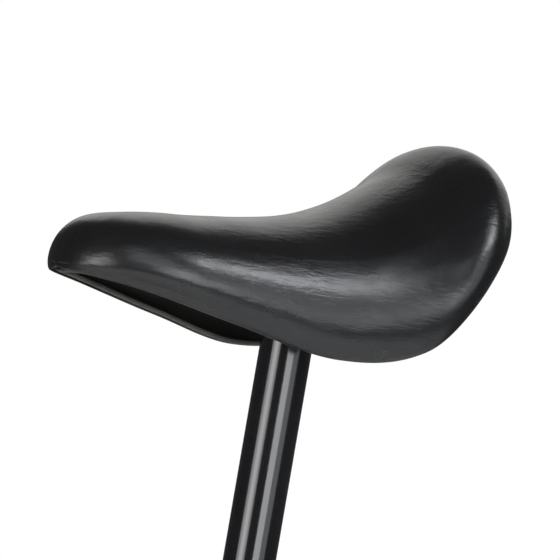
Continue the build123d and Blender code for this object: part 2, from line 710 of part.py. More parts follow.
with BuildPart() as saddle_nuts:
    with BuildSketch(Plane.XY.offset(HEAD_LOW - FIT_GAP - 1.5 - 4.0)):
        with mount_grid:
            RegularPolygon(5.7, 6)
            Circle(BOLT_R + 0.02, mode=Mode.SUBTRACT)
    extrude(amount=4.0)

# ---- cranks and pedals ----
CRANK_IN = 64.0
CRANK_OUT = AXLE_END_Y - 3.0
ARM_IN, ARM_OUT = 67.0, 79.0
EYE_IN, EYE_OUT = 66.0, 80.0
THREAD_R = 7.0
PEDAL_IN = 90.0
PEDAL_OUT = 150.0
PEDAL_HALF_X = 46.0
PEDAL_HALF_Z = 13.0
BARREL_R = 11.5
PEDAL_BALL_R = 1.5
PEDAL_BALL_PITCH = 7.2


def make_crank(side):
    """A crank arm pointing forward on the left and backward on the right, with a square socket."""
    reach = side * CRANK_LENGTH
    with BuildPart() as crank:
        with BuildSketch(side_plane(CRANK_IN, side=side)):
            Circle(16.5)
        extrude(amount=CRANK_OUT - CRANK_IN, taper=3)
        with BuildSketch(side_plane(EYE_IN, x=reach, side=side)):
            Circle(13.0)
        extrude(amount=EYE_OUT - EYE_IN)
        with BuildSketch(side_plane(ARM_IN, side=side)):
            with BuildLine():
                ahead = CRANK_LENGTH  # side_plane's x runs forward on the left, backward on the right
                Polyline((4, 13), (ahead - 2, 9.5), (ahead - 2, -9.5), (4, -13), close=True)
            make_face()
        extrude(amount=ARM_OUT - ARM_IN)
        long_edges = [edge for edge in crank.edges().filter_by(GeomType.LINE) if edge.length > 60]
        fillet(long_edges, 3.5)
        with BuildSketch(side_plane(SQUARE_START_Y - 2, side=side)):
            Rectangle(SQUARE_ROOT + FIT_GAP, SQUARE_ROOT + FIT_GAP)
        with BuildSketch(side_plane(AXLE_END_Y, side=side)):
            Rectangle(SQUARE_TIP + FIT_GAP, SQUARE_TIP + FIT_GAP)
        loft(mode=Mode.SUBTRACT)
        with BuildSketch(side_plane(CRANK_IN - 1, side=side)):
            Circle(10.2)
        extrude(amount=SQUARE_START_Y - CRANK_IN + 1, mode=Mode.SUBTRACT)
        with BuildSketch(side_plane(EYE_IN - 1, x=reach, side=side)):
            Circle(THREAD_R + FIT_GAP)
        extrude(amount=EYE_OUT - EYE_IN + 2, mode=Mode.SUBTRACT)
    return crank.part


def make_crank_bolt(side):
    """The bolt that draws the crank up the taper, with a hexagon head."""
    with BuildPart() as bolt:
        with BuildSketch(side_plane(AXLE_END_Y + FIT_GAP, side=side)):
            Circle(3.9)
        extrude(amount=-18)
        with BuildSketch(side_plane(AXLE_END_Y + FIT_GAP, side=side)):
            RegularPolygon(7.5, 6)
        extrude(amount=6)
    return bolt.part.solid()


def pedal_profile_shaft():
    """The pedal spindle's half profile: (distance from the middle of the cycle, radius)."""
    return [
        (EYE_IN + 0.5, 0), (EYE_IN + 0.5, THREAD_R), (EYE_OUT + 0.1, THREAD_R), (EYE_OUT + 0.1, 8.5),
        (PEDAL_IN - 3.5, 8.5), (PEDAL_IN - 3.5, 5.6), (PEDAL_IN + 14, 5.6), (PEDAL_OUT - 14, 4.4),
        (PEDAL_OUT - 14, 3.5), (PEDAL_OUT - 4, 3.5), (PEDAL_OUT - 4, 0),
    ]


def make_pedal_body(side):
    """A platform pedal: a ported frame round a bored barrel, joined by webs."""
    reach = side * CRANK_LENGTH
    middle_y = side * (PEDAL_IN + PEDAL_OUT) / 2
    length_y = PEDAL_OUT - PEDAL_IN
    with BuildPart() as body:
        with BuildSketch(Plane.XY.offset(AXLE_Z - PEDAL_HALF_Z)):
            with Locations((reach, middle_y)):
                RectangleRounded(2 * PEDAL_HALF_X, length_y, 6)
        extrude(amount=2 * PEDAL_HALF_Z)
        rims = body.edges().group_by(Axis.Z)
        fillet(rims[0] + rims[-1], 2.5)
        with BuildSketch(Plane.XY.offset(AXLE_Z - PEDAL_HALF_Z)):
            for end in (-1, 1):
                for row in (-1, 1):
                    with Locations((reach + end * 26, middle_y + row * (length_y / 4 - 1))):
                        RectangleRounded(24, length_y / 2 - 8, 3, mode=Mode.ADD)
        extrude(amount=2 * PEDAL_HALF_Z, mode=Mode.SUBTRACT)
        with BuildSketch(side_plane(PEDAL_IN, x=reach, side=side)):
            Circle(BARREL_R)
        extrude(amount=length_y)
        # Round pockets at both ends for the balls and cones, and the bore between them.
        with BuildSketch(side_plane(PEDAL_IN - 1, x=reach, side=side)):
            Circle(PEDAL_BALL_PITCH + PEDAL_BALL_R + RUNNING)
        extrude(amount=12, mode=Mode.SUBTRACT)
        with BuildSketch(side_plane(PEDAL_OUT - 14, x=reach, side=side)):
            Circle(PEDAL_BALL_PITCH + PEDAL_BALL_R + RUNNING)
        extrude(amount=15, mode=Mode.SUBTRACT)
        with BuildSketch(side_plane(PEDAL_IN, x=reach, side=side)):
            Circle(6.2)
        extrude(amount=length_y, mode=Mode.SUBTRACT)
        # Recesses in the front and back faces that hold the reflectors.
        for end in (-1, 1):
            with BuildSketch(Plane.YZ.offset(reach + end * (PEDAL_HALF_X - 3))):
                with Locations((middle_y, AXLE_Z)):
                    Rectangle(40.2, 12.2)
            extrude(amount=end * 4, mode=Mode.SUBTRACT)
    return body.part


for name, side in SIDES.items():
    reach = side * CRANK_LENGTH
    pedal_axis = Axis((reach, 0, AXLE_Z), (0, 1, 0))
    pedal_plane = Plane(origin=(reach, 0, AXLE_Z), x_dir=(0, 1, 0), z_dir=(1, 0, 0))
    save(make_crank(side), f"{name}_crank")
    shaft = [(side * y, r) for y, r in pedal_profile_shaft()]
    save(turned(shaft, pedal_axis, pedal_plane), f"{name}_pedal_spindle")
    save(make_pedal_body(side), f"{name}_pedal_body")

    rows = [
        make_caged_balls(
            side * (PEDAL_IN + at), PEDAL_BALL_PITCH, PEDAL_BALL_R, 12, 1.9, axis_x=reach
        ).solids()
        for at in (8, PEDAL_OUT - PEDAL_IN - 11)
    ]
    save(group([*rows[0], *rows[1]]), f"{name}_pedal_balls")

    with BuildPart() as dust_cap:
        with BuildSketch(side_plane(PEDAL_OUT - 3, x=reach, side=side)):
            Circle(PEDAL_BALL_PITCH + PEDAL_BALL_R)
        extrude(amount=4.5)
    save(dust_cap.part, f"{name}_pedal_dust_cap")

    with BuildPart() as reflectors:
        for end in (-1, 1):
            with BuildSketch(Plane.YZ.offset(reach + end * (PEDAL_HALF_X - 2.9))):
                with Locations((side * (PEDAL_IN + PEDAL_OUT) / 2, AXLE_Z)):
                    RectangleRounded(40, 12, 2)
            extrude(amount=end * 2.7)
    save(reflectors.part, f"{name}_pedal_reflectors")

crank_bolts = group([make_crank_bolt(side) for side in SIDES.values()])

# ---- write the remaining pieces ----
PIECES = {
    "tyre": tyre.part,
    "inner_tube": inner_tube.part,
    "valve_stem": valve_stem.part,
    "valve_cap": valve_cap.part,
    "rim": rim.part,
    "rim_tape": rim_tape.part,
    "spokes": group([make_spoke(*lace) for lace in LACING]),
    "spoke_nipples": group([make_nipple(*lace) for lace in LACING]),
    "hub_shell": hub_shell.part,
    "axle": axle.part,
    "seat_tube": seat_tube.part,
    "fork_crown": fork_crown.part,
    "bearing_cap_bolts": bearing_cap_bolts.part,
    "bearing_cap_nuts": bearing_cap_nuts.part,
    "clamp_collar": clamp_collar.part,
    "clamp_skewer": clamp_skewer.part,
    "clamp_pivot_pin": clamp_pivot_pin.part,
    "clamp_washer": clamp_washer.part,
    "clamp_lever": clamp_lever.part,
    "clamp_nut": clamp_nut.part,
    "seatpost_tube": seatpost_tube.part,
    "seatpost_head_plate": seatpost_head_plate.part,
    "seatpost_gussets": seatpost_gussets.part,
    "saddle_cover": saddle_cover.part,
    "saddle_foam": saddle_foam.part,
    "saddle_base": saddle_base.part,
    "saddle_bolts": saddle_bolts.part,
    "saddle_washers": saddle_washers.part,
    "saddle_nuts": saddle_nuts.part,
    "crank_bolts": crank_bolts,
}
for name, shape in PIECES.items():
    save(shape, name)
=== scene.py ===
"""Looks for the unicycle: a padded vinyl saddle, gloss black frame, silver wheel, black tyre."""

import math

import bpy
import numpy as np
from mathutils import Matrix, Vector, noise


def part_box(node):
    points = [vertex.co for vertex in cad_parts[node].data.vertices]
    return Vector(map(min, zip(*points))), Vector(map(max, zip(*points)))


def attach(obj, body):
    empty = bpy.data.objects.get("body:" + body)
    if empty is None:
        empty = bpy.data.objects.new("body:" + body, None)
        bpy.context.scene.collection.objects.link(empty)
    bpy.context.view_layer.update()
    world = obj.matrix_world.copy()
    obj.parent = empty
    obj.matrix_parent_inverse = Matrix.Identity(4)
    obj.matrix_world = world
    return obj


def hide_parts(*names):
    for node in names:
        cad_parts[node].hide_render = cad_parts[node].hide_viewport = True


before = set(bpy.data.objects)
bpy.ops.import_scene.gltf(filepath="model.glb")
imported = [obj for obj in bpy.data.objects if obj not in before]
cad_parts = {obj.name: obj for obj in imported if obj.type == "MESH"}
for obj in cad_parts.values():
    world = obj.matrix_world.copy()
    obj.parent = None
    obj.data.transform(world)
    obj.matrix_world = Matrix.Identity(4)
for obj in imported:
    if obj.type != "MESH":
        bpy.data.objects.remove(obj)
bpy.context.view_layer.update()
scene = bpy.context.scene
SIDES = ("left", "right")
MM_PER_M = 1000

# ---------------------------------------------------------------- places, from the CAD frame
HEAD_PLATE_ABOVE_DATUM = 0.0175
plate_low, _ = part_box("seatpost_head_plate")
DATUM = Vector((0.0, 0.0, plate_low[2] - HEAD_PLATE_ABOVE_DATUM))  # the saddle's own origin
tyre_low, tyre_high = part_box("tyre")
AXLE_Z = (tyre_low[2] + tyre_high[2]) / 2
TYRE_R = (tyre_high[2] - tyre_low[2]) / 2

# ---------------------------------------------------------------- camera
VIEW_AROUND = math.radians(31.9)  # from the rider's left, turned towards the front
VIEW_RISE = math.radians(-0.965)
VIEW_ROLL = math.radians(9.77)
VIEW_DISTANCE = 1.6
VIEW_WIDTH = 0.289  # what the picture takes in at the saddle's distance
AIM_RIGHT, AIM_UP = -0.0037, 0.031  # from the datum to the middle of the picture
SENSOR_WIDTH = 36  # mm

back = Vector(
    (
        math.sin(VIEW_AROUND) * math.cos(VIEW_RISE),
        math.cos(VIEW_AROUND) * math.cos(VIEW_RISE),
        math.sin(VIEW_RISE),
    )
)
level_right = Vector((-math.cos(VIEW_AROUND), math.sin(VIEW_AROUND), 0))
level_up = back.cross(level_right)
view_up = math.cos(VIEW_ROLL) * level_up - math.sin(VIEW_ROLL) * level_right
view_right = math.cos(VIEW_ROLL) * level_right + math.sin(VIEW_ROLL) * level_up


def add_camera():
    data = bpy.data.cameras.new("camera")
    data.sensor_width = SENSOR_WIDTH
    data.lens = SENSOR_WIDTH * VIEW_DISTANCE / VIEW_WIDTH
    data.clip_start, data.clip_end = 0.05, 60
    camera = bpy.data.objects.new("camera", data)
    scene.collection.objects.link(camera)
    place = DATUM + back * VIEW_DISTANCE
    aim = DATUM + view_right * AIM_RIGHT + view_up * AIM_UP
    z = (place - aim).normalized()
    x = view_up.cross(z).normalized()
    y = z.cross(x)
    camera.matrix_world = Matrix.Translation(place) @ Matrix((x, y, z)).transposed().to_4x4()
    scene.camera = camera


add_camera()

# ---------------------------------------------------------------- lights and world
scene.view_settings.view_transform = "Standard"
LIT_POINT = DATUM + Vector((0, 0, 0.04))
FILL_STRENGTH, BACKDROP_STRENGTH = 0.06, 1.0
# Name, degrees to the camera's right, degrees above the level, distance, size, power and colour.
SOFTBOXES = [
    ("softbox_key", 52, 40, 1.7, (0.75, 0.7), 6.0, (0.94, 0.97, 1.0)),
    ("softbox_key_core", 50, 37, 1.7, (0.36, 0.34), 4.5, (0.9, 0.95, 1.0)),
    ("softbox_key_mid", 52, 18, 1.7, (0.8, 0.5), 1.8, (0.94, 0.97, 1.0)),
    ("softbox_side", 51, -2, 1.7, (0.8, 0.6), 2.3, (0.95, 0.98, 1.0)),
    ("softbox_right_low", 26, -3, 1.7, (0.8, 0.75), 10.0, (0.97, 0.99, 1.0)),
    ("softbox_front", 6, 20, 1.7, (0.7, 0.7), 3.3, (0.95, 0.98, 1.0)),
    ("softbox_left", -42, -5, 1.7, (1.1, 0.8), 10.0, (1.0, 1.0, 1.0)),
    ("softbox_left_core", -41, -5, 1.7, (0.5, 0.8), 3.5, (1.0, 1.0, 1.0)),
    ("softbox_back", 178, 32, 1.8, (1.8, 1.3), 6.5, (1.0, 1.0, 0.98)),
    ("softbox_back_right", 130, 35, 1.8, (1.0, 1.1), 2.0, (1.0, 1.0, 1.0)),
    ("softbox_floor", 0, 90, 3.4, (4.0, 4.0), 50.0, (1.0, 1.0, 1.0)),
]


def light_direction(around, rise):
    """The way to a light that stands around degrees to the camera's right, and rise above level."""
    a, e = math.radians(around), math.radians(rise)
    level_back = Vector((back.x, back.y, 0)).normalized()
    flat = math.sin(a) * level_right + math.cos(a) * level_back
    return (math.cos(e) * flat + math.sin(e) * Vector((0, 0, 1))).normalized()


def add_softbox(name, around, rise, distance, size, power, colour):
    data = bpy.data.lights.new(name, "AREA")
    data.shape = "RECTANGLE"
    data.size, data.size_y = size
    data.energy = power
    data.color = colour
    light = bpy.data.objects.new(name, data)
    scene.collection.objects.link(light)
    toward = light_direction(around, rise)
    light.location = LIT_POINT + toward * distance
    light.rotation_euler = toward.to_track_quat("Z", "Y").to_euler()
    light.visible_camera = False
    return light


def add_world():
    """White where the camera looks past the unicycle, and a dim fill for everything else."""
    world = bpy.data.worlds.new("studio")
    scene.world = world
    world.use_nodes = True
    tree = world.node_tree
    tree.nodes.clear()
    out = tree.nodes.new("ShaderNodeOutputWorld")
    mix = tree.nodes.new("ShaderNodeMixShader")
    path = tree.nodes.new("ShaderNodeLightPath")
    tree.links.new(path.outputs["Is Camera Ray"], mix.inputs["Fac"])
    for socket, strength in ((1, FILL_STRENGTH), (2, BACKDROP_STRENGTH)):
        background = tree.nodes.new("ShaderNodeBackground")
        background.inputs["Color"].default_value = (1, 1, 1, 1)
        background.inputs["Strength"].default_value = strength
        tree.links.new(background.outputs[0], mix.inputs[socket])
    tree.links.new(mix.outputs[0], out.inputs["Surface"])


lights = {row[0]: add_softbox(*row) for row in SOFTBOXES}
add_world()


# ---------------------------------------------------------------- material helpers
class Nodes:
    """A short way to write a material's node tree."""

    def __init__(self, name):
        self.material = bpy.data.materials.new(name)
        self.material.use_nodes = True
        self.tree = self.material.node_tree
        self.tree.nodes.clear()
        self.out = self.add("OutputMaterial")
        self.shader = self.add("BsdfPrincipled")
        self.link(self.shader, "BSDF", self.out, "Surface")
        self.coordinates = self.add("TexCoord")

    def add(self, kind, **settings):
        node = self.tree.nodes.new("ShaderNode" + kind)
        for key, value in settings.items():
            setattr(node, key, value)
        return node

    def link(self, source, output, target, socket):
        self.tree.links.new(source.outputs[output], target.inputs[socket])

    def constants(self, **values):
        for key, value in values.items():
            self.shader.inputs[key.replace("_", " ")].default_value = value

    def mapped(self, scale):
        mapping = self.add("Mapping")
        mapping.inputs["Scale"].default_value = scale
        self.link(self.coordinates, "Object", mapping, "Vector")
        return mapping

    def noise(self, scale, detail, roughness, stretch=(1, 1, 1), distortion=0.0):
        node = self.add("TexNoise")
        node.inputs["Scale"].default_value = scale
        node.inputs["Detail"].default_value = detail
        node.inputs["Roughness"].default_value = roughness
        node.inputs["Distortion"].default_value = distortion
        self.link(self.mapped(stretch), "Vector", node, "Vector")
        return node

    def cells(self, scale):
        node = self.add("TexVoronoi", feature="F1")
        node.inputs["Scale"].default_value = scale
        self.link(self.mapped((1, 1, 1)), "Vector", node, "Vector")
        return node

    def spread(self, source, output, low, high, start=0.3, end=0.7):
        """The source's values from start to end, spread over low to high."""
        node = self.add("MapRange")
        for key, value in (("From Min", start), ("From Max", end), ("To Min", low), ("To Max", high)):
            node.inputs[key].default_value = value
        self.link(source, output, node, "Value")
        return node

    def colour(self, source, output, *stops):
        """The base colour, from a ramp with its (place, colour) stops over the source."""
        node = self.add("ValToRGB")
        for element, (at, colour) in zip(node.color_ramp.elements, stops):
            element.position = at
            element.color = (*colour, 1)
        self.link(source, output, node, "Fac")
        self.link(node, "Color", self.shader, "Base Color")

    def roughness(self, source, output, low, high):
        self.link(self.spread(source, output, low, high), "Result", self.shader, "Roughness")

    def bump(self, source, output, strength, distance, below=None):
        node = self.add("Bump")
        node.inputs["Strength"].default_value = strength
        node.inputs["Distance"].default_value = distance
        self.link(source, output, node, "Height")
        if below is not None:
            self.link(below, "Normal", node, "Normal")
        self.link(node, "Normal", self.shader, "Normal")
        return node


def times(colour, factor):
    return tuple(c * factor for c in colour)


# ---------------------------------------------------------------- materials
def vinyl():
    """Fine grain all over, and creases that come and go."""
    m = Nodes("vinyl")
    m.colour(m.noise(14, 4, 0.6), "Fac", (0.3, (0.0075, 0.0075, 0.008)), (0.7, (0.011, 0.011, 0.0118)))
    m.roughness(m.noise(22, 5, 0.6), "Fac", 0.24, 0.32)
    m.constants(IOR=1.5)
    grain = m.cells(1500)
    creases = m.noise(480, 3, 0.6, stretch=(0.2, 0.45, 1.0), distortion=0.5)
    amount = m.spread(m.noise(16, 3, 0.55), "Fac", 0.15, 1.0, start=0.38, end=0.62)
    height = m.add("Math", operation="MULTIPLY")
    m.link(creases, "Fac", height, 0)
    m.link(amount, "Result", height, 1)
    grained = m.bump(grain, "Distance", 0.10, 0.0002)
    m.bump(height, "Value", 1.0, 0.00026, below=grained)
    return m.material


def gloss_paint(name, colour, roughness):
    m = Nodes(name)
    m.colour(m.noise(9, 3, 0.5), "Fac", (0.3, colour), (0.75, times(colour, 1.35)))
    m.roughness(m.noise(26, 6, 0.65), "Fac", roughness * 0.8, roughness * 1.35)
    m.constants(IOR=1.5, Coat_Weight=0.35, Coat_Roughness=0.08)
    m.bump(m.noise(420, 2, 0.5), "Fac", 0.05, 0.0003)
    return m.material


def moulded_plastic(name, colour, roughness):
    m = Nodes(name)
    light = tuple(c * 1.5 + 0.002 for c in colour)
    m.colour(m.noise(20, 4, 0.6), "Fac", (0.3, colour), (0.75, light))
    scuffs = m.noise(60, 6, 0.7, stretch=(1, 1, 2.5))
    m.roughness(scuffs, "Fac", roughness * 0.85, roughness * 1.25)
    m.constants(IOR=1.46)
    m.bump(m.noise(900, 2, 0.5), "Fac", 0.25, 0.0002)
    return m.material


def metal(name, colour, roughness, scale, streak=(1, 1, 1), strength=0.08):
    m = Nodes(name)
    lines = m.noise(scale, 5, 0.6, stretch=streak)
    m.colour(lines, "Fac", (0.25, times(colour, 0.75)), (0.7, colour))
    m.roughness(m.noise(30, 5, 0.65), "Fac", roughness * 0.75, roughness * 1.4)
    m.constants(Metallic=1.0)
    m.bump(lines, "Fac", strength, 0.0003)
    return m.material


def turned_metal(name, colour, roughness, rings):
    """Metal with fine machining rings about the axle."""
    m = Nodes(name)
    shift = m.add("Mapping")
    shift.inputs["Location"].default_value = (0, 0, -AXLE_Z)
    m.link(m.coordinates, "Object", shift, "Vector")
    split = m.add("SeparateXYZ")
    m.link(shift, "Vector", split, "Vector")
    flat = m.add("CombineXYZ")
    m.link(split, "X", flat, "X")
    m.link(split, "Z", flat, "Y")
    radius = m.add("VectorMath", operation="LENGTH")
    m.link(flat, "Vector", radius, 0)
    scaled = m.add("Math", operation="MULTIPLY")
    scaled.inputs[1].default_value = rings
    m.link(radius, "Value", scaled, 0)
    lines = m.add("TexNoise", noise_dimensions="1D")
    lines.inputs["Scale"].default_value = 1.0
    lines.inputs["Detail"].default_value = 3.0
    m.link(scaled, "Value", lines, "W")
    m.colour(lines, "Fac", (0.3, times(colour, 0.82)), (0.7, colour))
    m.roughness(m.noise(35, 5, 0.6), "Fac", roughness * 0.8, roughness * 1.35)
    m.constants(Metallic=1.0)
    m.bump(lines, "Fac", 0.05, 0.0001)
    return m.material


def rubber(name, colour, roughness):
    m = Nodes(name)
    dust = m.noise(18, 6, 0.7)
    m.colour(dust, "Fac", (0.35, colour), (0.8, times(colour, 1.9)))
    m.roughness(dust, "Fac", roughness * 0.85, roughness * 1.2)
    m.constants(IOR=1.45)
    m.bump(m.noise(600, 3, 0.6), "Fac", 0.3, 0.0003)
    return m.material


def prismatic(name, colour):
    m = Nodes(name)
    prisms = m.cells(420)
    m.colour(prisms, "Distance", (0.1, times(colour, 0.45)), (0.6, colour))
    m.roughness(m.noise(80, 3, 0.5), "Fac", 0.1, 0.22)
    m.constants(IOR=1.5, Coat_Weight=0.6, Coat_Roughness=0.05)
    m.bump(prisms, "Distance", 0.7, 0.0008)
    return m.material


def woven_tape(name, colour):
    m = Nodes(name)
    weave = m.add("TexWave", wave_type="BANDS", bands_direction="DIAGONAL")
    weave.inputs["Scale"].default_value = 400
    weave.inputs["Distortion"].default_value = 0.6
    m.link(m.coordinates, "Object", weave, "Vector")
    m.colour(weave, "Fac", (0.2, times(colour, 0.6)), (0.8, colour))
    m.roughness(weave, "Fac", 0.75, 0.9)
    m.bump(weave, "Fac", 0.4, 0.0003)
    return m.material


def pale_floor(name):
    m = Nodes(name)
    m.colour(m.noise(3, 3, 0.5), "Fac", (0.3, (0.80, 0.80, 0.80)), (0.7, (0.84, 0.84, 0.84)))
    m.constants(Roughness=0.7)
    return m.material


BLACK = (0.008, 0.008, 0.0095)
MATERIALS = {
    "vinyl": vinyl(),
    "post_paint": gloss_paint("post_paint", BLACK, 0.13),
    "frame_paint": gloss_paint("frame_paint", BLACK, 0.14),
    "base_plastic": moulded_plastic("base_plastic", (0.012, 0.011, 0.010), 0.45),
    "pedal_plastic": moulded_plastic("pedal_plastic", (0.016, 0.016, 0.017), 0.5),
    "small_plastic": moulded_plastic("small_plastic", (0.014, 0.014, 0.014), 0.4),
    "zinc": metal("zinc", (0.55, 0.55, 0.54), 0.32, 260),
    "black_alloy": metal("black_alloy", (0.035, 0.035, 0.038), 0.3, 240),
    "rim_alloy": turned_metal("rim_alloy", (0.72, 0.72, 0.73), 0.26, 1800),
    "spoke_steel": metal("spoke_steel", (0.66, 0.66, 0.67), 0.2, 300, strength=0.03),
    "nipple": metal("nipple", (0.72, 0.70, 0.64), 0.28, 300),
    "hub_chrome": turned_metal("hub_chrome", (0.74, 0.74, 0.75), 0.14, 1500),
    "turned_steel": turned_metal("turned_steel", (0.55, 0.55, 0.56), 0.28, 2200),
    "ball_chrome": metal("ball_chrome", (0.78, 0.78, 0.8), 0.1, 200, strength=0.02),
    "crank_alloy": metal("crank_alloy", (0.66, 0.66, 0.67), 0.3, 420, streak=(0.12, 1, 1.6)),
    "brass": metal("brass", (0.72, 0.55, 0.28), 0.3, 300, streak=(1, 1, 9), strength=0.3),
    # painted highlight: the hem's pale brownish grey stands in for light caught along the inside of the
    # saddle's rolled edge
    "backing_painted_highlight": rubber("backing_painted_highlight", (0.085, 0.078, 0.070), 0.5),
    "tyre": rubber("tyre", (0.018, 0.018, 0.019), 0.62),
    "tube": rubber("tube", (0.012, 0.012, 0.012), 0.5),
    "shield": rubber("shield", (0.015, 0.015, 0.015), 0.5),
    "tape": woven_tape("tape", (0.5, 0.45, 0.36)),
    "reflector": prismatic("reflector", (0.85, 0.3, 0.03)),
    "floor": pale_floor("floor"),
}

# What each CAD node is painted with. A left and a right one share a line.
NODE_MATERIALS = {
    "saddle_base": "base_plastic",
    "saddle_bolts": "zinc",
    "saddle_washers": "zinc",
    "saddle_nuts": "zinc",
    "seatpost_tube": "post_paint",
    "seatpost_head_plate": "post_paint",
    "seatpost_gussets": "post_paint",
    "clamp_collar": "black_alloy",
    "clamp_lever": "black_alloy",
    "clamp_nut": "black_alloy",
    "clamp_skewer": "zinc",
    "clamp_pivot_pin": "zinc",
    "clamp_washer": "small_plastic",
    "seat_tube": "frame_paint",
    "fork_crown": "frame_paint",
    "fork_leg": "frame_paint",
    "bearing_seat": "frame_paint",
    "bearing_cap": "frame_paint",
    "bearing_cap_bolts": "zinc",
    "bearing_cap_nuts": "zinc",
    "bearing_outer_race": "turned_steel",
    "bearing_inner_race": "turned_steel",
    "bearing_balls": "ball_chrome",
    "bearing_shields": "shield",
    "inner_tube": "tube",
    "valve_stem": "brass",
    "valve_cap": "small_plastic",
    "rim": "rim_alloy",
    "rim_tape": "tape",
    "spokes": "spoke_steel",
    "spoke_nipples": "nipple",
    "hub_shell": "hub_chrome",
    "axle": "turned_steel",
    "crank": "crank_alloy",
    "crank_bolts": "zinc",
    "pedal_spindle": "zinc",
    "pedal_body": "pedal_plastic",
    "pedal_balls": "ball_chrome",
    "pedal_dust_cap": "small_plastic",
    "pedal_reflectors": "reflector",
}


def paint(obj, key):
    obj.data.materials.clear()
    obj.data.materials.append(MATERIALS[key])


for node_name, node_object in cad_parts.items():
    plain = node_name.removeprefix("left_").removeprefix("right_")
    if plain in NODE_MATERIALS:
        paint(node_object, NODE_MATERIALS[plain])


# ---------------------------------------------------------------- mesh helpers
def make_object(name, vertices, faces, material, smooth=True):
    mesh = bpy.data.meshes.new(name)
    mesh.from_pydata([tuple(v) for v in vertices], [], faces)
    mesh.update()
    if smooth:
        mesh.polygons.foreach_set("use_smooth", [True] * len(mesh.polygons))
    obj = bpy.data.objects.new(name, mesh)
    scene.collection.objects.link(obj)
    paint(obj, material)
    return obj


def closed_band(rings, points):
    """The quads of rings that follow one another round in a loop, numbered ring by ring."""
    faces = []
    for i in range(rings):
        m = (i + 1) % rings
        for k in range(points):
            n = (k + 1) % points
            faces.append([i * points + k, i * points + n, m * points + n, m * points + k])
    return faces


# ---------------------------------------------------------------- saddle form, in mm above DATUM
# Station, height of the lower edge, height of the crown above it and half width.
STATIONS = np.array(
    [
        (-103, 71.5, 72.5, 82.0),
        (-77, 43.5, 82.0, 82.0),
        (-46, 6.5, 87.5, 72.0),
        (0, -5.5, 73.0, 63.0),
        (56, 2.5, 52.5, 54.0),
        (105, 11.0, 41.0, 46.0),
        (140, 15.0, 49.0, 46.0),
    ]
)
TAIL, NOSE = STATIONS[0, 0], STATIONS[-1, 0]
NOSE_ROUND_PLAN, NOSE_ROUND_SIDE = 56.5, 59.0  # how long the rounding of each end is
TAIL_ROUND_PLAN, TAIL_ROUND_SIDE = 55.0, 48.0
WIDEST_AT = 0.25  # the share of the height at which a cross-section is widest
TUCK, TUCK_HEIGHT = 0.10, 6.0  # the share by which the lower sides turn in, and the height it takes
TAIL_POWER, MIDDLE_POWER, NOSE_POWER = 0.98, 0.96, 0.84  # 1 is an ellipse, and less is boxier
ALONG, AROUND, LOWER = 360, 150, 14  # quads along the saddle, over its top, and in each lower side
EASED_WIDTH, EASE_PASSES = LOWER + 30, 40  # how much of each flank is eased into its lower side


def along(x, column):
    """A column of STATIONS at x, by a cubic through the stations."""
    knots, values = STATIONS[:, 0], STATIONS[:, column]
    slopes = np.empty(len(knots))
    slopes[1:-1] = (values[2:] - values[:-2]) / (knots[2:] - knots[:-2])
    slopes[0] = (values[1] - values[0]) / (knots[1] - knots[0])
    slopes[-1] = (values[-1] - values[-2]) / (knots[-1] - knots[-2])
    i = np.clip(np.searchsorted(knots, x) - 1, 0, len(knots) - 2)
    step = knots[i + 1] - knots[i]
    t = (x - knots[i]) / step
    return (
        (2 * t**3 - 3 * t**2 + 1) * values[i]
        + (t**3 - 2 * t**2 + t) * step * slopes[i]
        + (3 * t**2 - 2 * t**3) * values[i + 1]
        + (t**3 - t**2) * step * slopes[i + 1]
    )


def closing(x, nose_length, tail_length):
    """How full the saddle is at x: 1 along its middle, and down to 0 round each end."""
    beyond = np.maximum((x - NOSE + nose_length) / nose_length, (TAIL + tail_length - x) / tail_length)
    return np.sqrt(np.clip(1 - np.clip(beyond, 0, None) ** 2, 0, 1))


def tucked(lower_height):
    """The share by which the lower sides turn in, which is less where they are too low for it."""
    return TUCK * np.clip(lower_height / TUCK_HEIGHT, 0, 1)


def saddle_grid(inset, share, lift):
    """Rows of points from the left lower edge over the top to the right one, tail to nose."""
    middle, reach = (NOSE + TAIL) / 2, (NOSE - TAIL) / 2 - inset
    x = middle - reach * np.cos(np.linspace(0, np.pi, ALONG + 1))
    low = along(x, 1)
    height = np.maximum(along(x, 2) * closing(x, NOSE_ROUND_SIDE, TAIL_ROUND_SIDE) * share - inset, lift)
    half = np.maximum(along(x, 3) * closing(x, NOSE_ROUND_PLAN, TAIL_ROUND_PLAN) - inset, 0)
    power = np.where(
        x < 0,
        MIDDLE_POWER + (TAIL_POWER - MIDDLE_POWER) * x / TAIL,
        MIDDLE_POWER + (NOSE_POWER - MIDDLE_POWER) * x / NOSE,
    )
    widest = np.maximum(low + WIDEST_AT * height, low + lift)
    crown = low + height
    tuck = tucked(widest - low - lift)
    lower = []
    for k in range(LOWER):
        t = k / LOWER
        lower.append((half * (1 - tuck * (1 - t) ** 2), low + lift + (widest - low - lift) * t))
    over = []
    for k in range(AROUND + 1):
        angle = math.pi * k / AROUND
        side = 1 if angle <= math.pi / 2 else -1
        rise = (crown - widest) * max(math.sin(angle), 0.0) ** power
        over.append((side * half * np.abs(math.cos(angle)) ** power, widest + rise))
    rows = lower + over + [(-y, z) for y, z in reversed(lower)]
    return np.stack([np.stack([x, y, z], -1) for y, z in rows], 1)


def eased(grid):
    """The skin with the turn from its flanks into its lower sides eased, and its edges kept."""
    columns = grid.shape[1]
    for side in (slice(0, EASED_WIDTH), slice(columns - EASED_WIDTH, columns)):
        strip = grid[:, side].copy()
        for _ in range(EASE_PASSES):
            strip[:, 1:-1] = strip[:, 1:-1] / 2 + (strip[:, :-2] + strip[:, 2:]) / 4
        grid[:, side] = strip
    return grid


